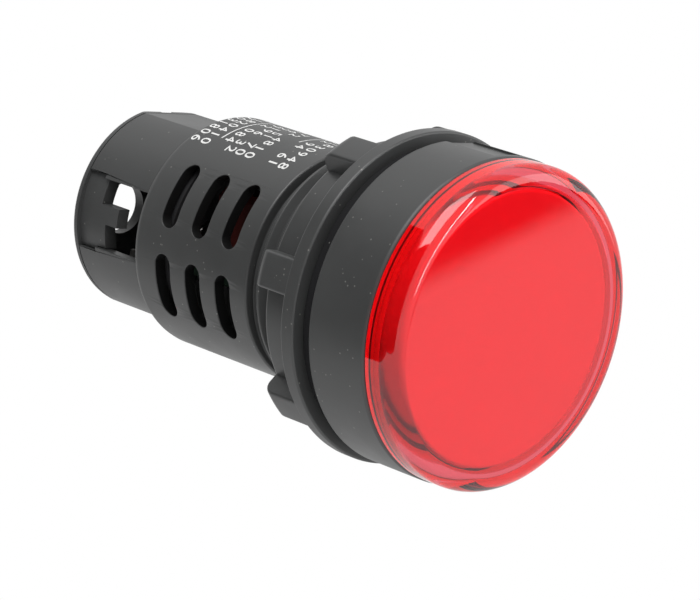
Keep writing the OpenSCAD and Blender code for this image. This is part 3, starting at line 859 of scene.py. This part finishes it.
class PILOT_OT_cover(bpy.types.Operator):
    """Models the terminal cover with its rim, tongues, skirt and driver holes"""

    bl_idname = "pilot.cover"
    bl_label = "Terminal Cover"

    def execute(self, context):
        rim_front, sleeve, plug = SLEEVE_REAR + 0.05, 9.5, 8.1
        inner_face = LIGHT_REAR - 1.1
        outline = [(0, inner_face), (plug, inner_face), (plug, rim_front), (sleeve, rim_front), (sleeve, LIGHT_REAR), (0, LIGHT_REAR)]
        cover = turn("terminal_lid", rounded(outline, {4: 0.4}))
        skirt = turn("skirt", [(plug - 0.8, SLEEVE_REAR - 4.4), (plug, SLEEVE_REAR - 4.4), (plug, inner_face + 0.2), (plug - 0.8, inner_face + 0.2)])
        combine(skirt, box("skirt_gap", (-20, 20, -3.55), (20, inner_face - 0.001, 3.55)), "DIFFERENCE")
        combine(cover, skirt, "UNION")
        between = box("between_flats", (-20, 20, -FLAT_Z), (20, 50, FLAT_Z))
        combine(cover, between, "INTERSECT")
        combine(cover, self.tongues(), "UNION")
        for x in (-4.4, 4.4):
            hole = turn("driver_hole", [(0, inner_face - 1), (2.4, inner_face - 1), (2.4, LIGHT_REAR + 1), (0, LIGHT_REAR + 1)], 48, (x, 0))
            combine(cover, hole, "DIFFERENCE")
        for low, high in ((FLAT_Z - 2.2, 20), (-20, 2.2 - FLAT_Z)):
            combine(cover, box("key", (-0.7, LIGHT_REAR - 0.3, low), (0.7, LIGHT_REAR + 1, high)), "DIFFERENCE")
        shade(cover)
        dress(cover, finish_named("cover_black"), "cover", "cover_black", "terminal_cover")
        return {"FINISHED"}

    def tongues(self):
        """Cuts both tongues from one turned ring: two steps deep, with a tab between them."""
        outer = 9.5 - 0.45
        ring = turn("tongue_ring", [(outer - 1.25, 28), (outer, 28), (outer, LIGHT_REAR - 0.4), (outer - 1.25, LIGHT_REAR - 0.4)])
        high, low = 3.45, -3.45
        lower_front = SLEEVE_REAR - 3.4
        shape = box("upper", (-20, lower_front + 0.8, -0.01), (20, LIGHT_REAR, high))
        combine(shape, box("lower", (-20, lower_front, low), (20, LIGHT_REAR, 0.01)), "UNION")
        combine(shape, box("tab", (-20, lower_front - 1.6, -0.875), (20, LIGHT_REAR, 0.875)), "UNION")
        narrow = box("narrow", (-20, 20, -3.1), (20, SLEEVE_REAR - 2.2, 3.1))
        combine(narrow, box("wide", (-20, SLEEVE_REAR - 2.2, low), (20, LIGHT_REAR, high)), "UNION")
        combine(shape, narrow, "INTERSECT")
        combine(ring, shape, "INTERSECT")
        return ring


class PILOT_OT_screws(bpy.types.Operator):
    """Turns a terminal screw with a rounded head and a cross slot, and copies it"""

    bl_idname = "pilot.screws"
    bl_label = "Terminal Screws"

    def execute(self, context):
        first = self.model()
        second = copy_of(first)
        for piece, side, x in ((first, "left", -4.4), (second, "right", 4.4)):
            select_only(piece)
            bpy.ops.object.mode_set(mode="EDIT")
            bpy.ops.mesh.select_all(action="SELECT")
            bpy.ops.transform.translate(value=(x * MM, 0, 0))
            bpy.ops.object.mode_set(mode="OBJECT")
            piece.name = piece.data.name = "terminal_screw_" + side
            dress(piece, finish_named("plated"), "screw_" + side, "tinned_metal", "screw_" + side)
        return {"FINISHED"}

    def model(self):
        head_rear = HEAD_FRONT + 1.8
        outline = [
            (0, SCREW_TIP), (1.2, SCREW_TIP), (1.5, SCREW_TIP + 0.3), (1.5, HEAD_FRONT), (2.6, HEAD_FRONT),
            (2.6, head_rear), (0, head_rear),
        ]
        screw = turn("screw", rounded(outline, {4: 0.12, 5: 0.45}), 64)
        slot = box("slot", (-3, head_rear - 0.9, -0.4), (3, head_rear + 1, 0.4))
        combine(slot, box("cross", (-0.4, head_rear - 1.0, -1.5), (0.4, head_rear + 1, 1.5)), "UNION")
        combine(screw, slot, "DIFFERENCE")
        shade(screw, 30)
        return screw


def marks():
    """Returns the print on the barrel's top, in millimetres: rules as (x, y, length, width), and rows as (y, digits)."""
    rules = [(-1.6, 23.6, 7.4, 0.15), (1.4, 16.85, 7.4, 0.15)]
    rows = [(25.95, "2041 7031806"), (24.65, "037 11820410"), (22.5, "5140 72 084 "), (21.25, "1704 2196 32")]
    rows += [(20.0, "712 04 51 70"), (18.75, "40 1 72 4810"), (15.7, "140 72 94 61"), (14.35, "472101830948")]
    return rules, rows


class PILOT_OT_print(bpy.types.Operator):
    """Lays the printed rules and numbers on top of the barrel"""

    bl_idname = "pilot.print"
    bl_label = "Print"

    def execute(self, context):
        rules, rows = marks()
        parts = [self.strip(x, y, length, width) for x, y, length, width in rules]
        for y, digits in rows:
            for place, digit in enumerate(digits):
                if digit != " ":
                    parts.append(self.number(digit, 5.1 - place * 1.02, y))
        select_only(*parts)
        bpy.ops.object.join()
        sheet = name_piece("barrel_print")
        barrel = NODES["rear_housing"]
        wrap = sheet.modifiers.new("Wrap", "SHRINKWRAP")
        wrap.target = barrel
        wrap.wrap_method = "PROJECT"
        wrap.use_project_z = True
        wrap.use_negative_direction = True
        wrap.use_positive_direction = False
        wrap.offset = 0.02 * MM
        bpy.ops.object.modifier_apply(modifier=wrap.name)
        shade(sheet, 60)
        dress(sheet, finish_named("print_white"), "housing", None)
        return {"FINISHED"}

    def strip(self, x, y, width, height):
        """Adds one flat strip above the barrel, cut finely enough to bend round it."""
        bpy.ops.object.select_all(action="DESELECT")
        bpy.ops.mesh.primitive_plane_add(size=1)
        piece = name_piece("strip")
        bpy.ops.object.mode_set(mode="EDIT")
        bpy.ops.transform.resize(value=(width * MM, height * MM, 1))
        bpy.ops.mesh.subdivide(number_cuts=max(2, int(width * 2)))
        bpy.ops.transform.translate(value=(x * MM, y * MM, 12 * MM))
        bpy.ops.object.mode_set(mode="OBJECT")
        return piece

    def number(self, digit, x, y):
        """Adds one printed digit as a flat mesh that reads round the barrel."""
        bpy.ops.object.select_all(action="DESELECT")
        bpy.ops.object.text_add()
        text = bpy.context.object
        text.data.body = digit
        text.data.size = 1.5 * MM
        text.data.offset = 0.012 * MM
        text.data.resolution_u = 3
        text.data.align_x = "CENTER"
        text.data.align_y = "CENTER"
        bpy.ops.object.convert(target="MESH")
        piece = name_piece("digit")
        bpy.ops.object.mode_set(mode="EDIT")
        bpy.ops.mesh.select_all(action="SELECT")
        bpy.ops.mesh.remove_doubles(threshold=WELD)
        bpy.ops.transform.resize(value=(-1, -1, 1))
        bpy.ops.transform.translate(value=(x * MM, y * MM, 12 * MM))
        bpy.ops.object.mode_set(mode="OBJECT")
        return piece


class PILOT_OT_studio(bpy.types.Operator):
    """Sets up the floor, the soft boxes, the world and the camera"""

    bl_idname = "pilot.studio"
    bl_label = "Studio"

    def execute(self, context):
        look = context.scene.pilot_stage
        self.floor(look)
        self.world(context.scene, look)
        self.soft_box("key", (-0.35, -0.2, 0.75), 0.7, look.key)
        self.soft_box("fill", (0.65, -0.55, 0.25), 0.6, look.fill)
        self.card("edge_card", (0.4364, -0.403, -0.0861), (0.0208, 0.0179, 0.0188), 0.16, 0.12, soft=0.06)
        self.card("side_card", (-0.25, 0.16, -0.15), (0.53, 0.84, 0), 0.42, 0.44, (0, 0, 1))
        self.card("shoulder_card", (-0.34, -0.16, -0.15), (-0.3, 0.95, 0), 0.4, 0.5, (0, 0, 1))
        self.strip_light("streak", (0.13, -0.6, 0.25), (0, 0.012, 0), 0.035, 0.6, 1.2)
        self.camera(context.scene)
        context.scene.view_settings.view_transform = "Standard"
        return {"FINISHED"}

    def floor(self, look):
        """Adds a wide pale floor: its far parts are plain white, and near the light it keeps the shadow."""
        bpy.ops.object.select_all(action="DESELECT")
        bpy.ops.mesh.primitive_circle_add(vertices=64, radius=12, fill_type="NGON", location=(0, 0, -look.floor_drop))
        floor = name_piece("floor")
        material, shader = new_material("Floor White", (0.86, 0.86, 0.86), 0.9)
        nodes, link = material.node_tree.nodes, material.node_tree.links.new
        away = nodes.new("ShaderNodeVectorMath")
        away.operation = "LENGTH"
        link(coordinates(material), away.inputs[0])
        far = nodes.new("ShaderNodeMapRange")
        far.inputs["From Min"].default_value = 0.16
        far.inputs["From Max"].default_value = 0.4
        link(away.outputs["Value"], far.inputs["Value"])
        rays = nodes.new("ShaderNodeLightPath")
        seen = nodes.new("ShaderNodeMath")
        seen.operation = "MAXIMUM"
        link(rays.outputs["Is Camera Ray"], seen.inputs[0])
        link(rays.outputs["Is Glossy Ray"], seen.inputs[1])
        through = nodes.new("ShaderNodeMath")
        through.operation = "MAXIMUM"
        link(seen.outputs["Value"], through.inputs[0])
        link(rays.outputs["Is Transmission Ray"], through.inputs[1])
        plain = nodes.new("ShaderNodeMath")
        plain.operation = "MULTIPLY"
        link(through.outputs["Value"], plain.inputs[0])
        link(far.outputs["Result"], plain.inputs[1])
        glow = nodes.new("ShaderNodeEmission")
        glow.inputs["Color"].default_value = (1, 1, 1, 1)
        glow.inputs["Strength"].default_value = 1
        both = nodes.new("ShaderNodeMixShader")
        link(plain.outputs["Value"], both.inputs["Fac"])
        link(shader.outputs["BSDF"], both.inputs[1])
        link(glow.outputs["Emission"], both.inputs[2])
        link(both.outputs["Shader"], nodes["Material Output"].inputs["Surface"])
        floor.data.materials.append(material)

    def world(self, scene, look):
        """White behind the light and through clear parts, and a softer level for the light from all round."""
        world = bpy.data.worlds.new("Studio White")
        world.use_nodes = True
        scene.world = world
        nodes, link = world.node_tree.nodes, world.node_tree.links.new
        rays = nodes.new("ShaderNodeLightPath")
        through = nodes.new("ShaderNodeMath")
        through.operation = "MAXIMUM"
        link(rays.outputs["Is Camera Ray"], through.inputs[0])
        link(rays.outputs["Is Transmission Ray"], through.inputs[1])
        mirrored = nodes.new("ShaderNodeMath")
        mirrored.operation = "MULTIPLY"
        mirrored.inputs[1].default_value = look.mirrored
        link(rays.outputs["Is Glossy Ray"], mirrored.inputs[0])
        either = nodes.new("ShaderNodeMath")
        either.operation = "MAXIMUM"
        link(through.outputs["Value"], either.inputs[0])
        link(mirrored.outputs["Value"], either.inputs[1])
        level = nodes.new("ShaderNodeMath")
        level.operation = "MAXIMUM"
        level.inputs[1].default_value = look.ambient
        link(either.outputs["Value"], level.inputs[0])
        back = nodes["Background"]
        back.inputs["Color"].default_value = (1, 1, 1, 1)
        link(level.outputs["Value"], back.inputs["Strength"])

    def soft_box(self, name, place, size, power):
        """Adds one square soft box aimed at the middle of the light."""
        bpy.ops.object.light_add(type="AREA", location=place)
        lamp = bpy.context.object
        lamp.name = name
        lamp.data.shape = "SQUARE"
        lamp.data.size = size
        lamp.data.energy = power
        aim = Vector((0, 0.012, 0)) - Vector(place)
        lamp.rotation_euler = aim.to_track_quat("-Z", "Y").to_euler()

    def card(self, name, edge, along, width, height, upright=None, soft=0.0):
        """Stands a dark card over an edge, given by its middle and direction, so that glossy parts reflect it."""
        edge, along = Vector(edge), Vector(along).normalized()
        up = along.cross(edge).normalized() if upright is None else Vector(upright)
        up = up if up.z > 0 else -up
        bpy.ops.object.select_all(action="DESELECT")
        bpy.ops.mesh.primitive_plane_add(size=1)
        card = name_piece(name)
        card.scale = (width, height, 1)
        card.location = edge + up * height * (0.5 - soft / 2)
        card.rotation_euler = Matrix((along, up, along.cross(up))).transposed().to_euler()
        card.data.materials.append(self.card_material(name, soft))
        card.visible_camera = card.visible_diffuse = card.visible_shadow = False

    def card_material(self, name, soft):
        """Black that turns into plain white over the soft part above the card's lower edge."""
        material, shader = new_material(name, (0.01, 0.01, 0.01), 0.9)
        if soft:
            split = add(material, "ShaderNodeSeparateXYZ")
            fade = add(material, "ShaderNodeMapRange", From_Min=-0.5, From_Max=soft - 0.5, To_Min=1, To_Max=0)
            fade.interpolation_type = "SMOOTHSTEP"
            material.node_tree.links.new(coordinates(material), split.inputs["Vector"])
            material.node_tree.links.new(split.outputs["Y"], fade.inputs["Value"])
            material.node_tree.links.new(fade.outputs["Result"], shader.inputs["Emission Strength"])
            shader.inputs["Emission Color"].default_value = (1, 1, 1, 1)
        return material

    def strip_light(self, name, place, aim, width, height, power):
        """Adds a tall narrow soft box that draws a streak on rounded parts."""
        bpy.ops.object.light_add(type="AREA", location=place)
        lamp = bpy.context.object
        lamp.name = name
        lamp.data.shape = "RECTANGLE"
        lamp.data.size, lamp.data.size_y = width, height
        lamp.data.energy = power
        lamp.rotation_euler = (Vector(aim) - Vector(place)).to_track_quat("-Z", "Y").to_euler()
        return lamp.data

    def camera(self, scene):
        """Sets the camera to the front left of the light and a little above it."""
        bpy.ops.object.camera_add(location=(-0.224553, -0.208551, 0.055944))
        camera = bpy.context.object
        camera.name = "front_left_view"
        camera.data.sensor_width = 36
        camera.data.lens = 185.14
        camera.data.dof.use_dof = False
        camera.data.clip_start = 0.01
        look = Vector((0.70522, 0.68512, -0.18242))
        turn_to = look.to_track_quat("-Z", "Y").to_matrix()
        up = Vector((0.01303, 0.24472, 0.96951))
        level_up, side = turn_to.col[1], turn_to.col[0]
        lean = math.atan2(up.dot(side), up.dot(level_up))
        camera.rotation_mode = "QUATERNION"
        camera.rotation_quaternion = look.to_track_quat("-Z", "Y")
        camera.rotation_mode = "XYZ"
        camera.rotation_euler = (turn_to @ self.roll(lean)).to_euler()
        scene.camera = camera

    def roll(self, angle):
        """Returns a turn about the camera's own viewing axis."""
        return Matrix.Rotation(-angle, 3, "Z")


class PILOT_PT_panel(bpy.types.Panel):
    """Lists the steps of the pilot light's model in the sidebar"""

    bl_idname = "PILOT_PT_panel"
    bl_label = "Panel Pilot Light"
    bl_space_type = "VIEW_3D"
    bl_region_type = "UI"
    bl_category = "Pilot Light"

    def draw(self, context):
        for operator in OPERATORS:
            self.layout.operator(operator.bl_idname)
        for group in SETTINGS:
            values = getattr(context.scene, group)
            column = self.layout.column()
            for label in values.__annotations__:
                column.prop(values, label)


SETTINGS = {
    "pilot_lens": LensSettings,
    "pilot_bezel": BezelSettings,
    "pilot_nut": NutSettings,
    "pilot_housing": HousingSettings,
    "pilot_finish": FinishSettings,
    "pilot_stage": StageSettings,
}
OPERATORS = (
    PILOT_OT_finishes,
    PILOT_OT_lens,
    PILOT_OT_diffuser,
    PILOT_OT_bezel,
    PILOT_OT_nut,
    PILOT_OT_housing,
    PILOT_OT_cover,
    PILOT_OT_screws,
    PILOT_OT_print,
    PILOT_OT_studio,
)


def register():
    for name, group in SETTINGS.items():
        bpy.utils.register_class(group)
        setattr(bpy.types.Scene, name, PointerProperty(type=group))
    for operator in OPERATORS:
        bpy.utils.register_class(operator)
    bpy.utils.register_class(PILOT_PT_panel)


def unregister():
    bpy.utils.unregister_class(PILOT_PT_panel)
    for operator in reversed(OPERATORS):
        bpy.utils.unregister_class(operator)
    for name, group in SETTINGS.items():
        delattr(bpy.types.Scene, name)
        bpy.utils.unregister_class(group)


def main():
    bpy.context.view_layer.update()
    register()
    bpy.ops.object.select_all(action="DESELECT")
    bpy.ops.pilot.finishes()
    bpy.ops.pilot.lens()
    bpy.ops.pilot.diffuser()
    bpy.ops.pilot.bezel()
    bpy.ops.pilot.nut()
    bpy.ops.pilot.housing()
    bpy.ops.pilot.cover()
    bpy.ops.pilot.screws()
    bpy.ops.pilot.print()
    bpy.ops.pilot.studio()


if __name__ == "__main__":
    main()
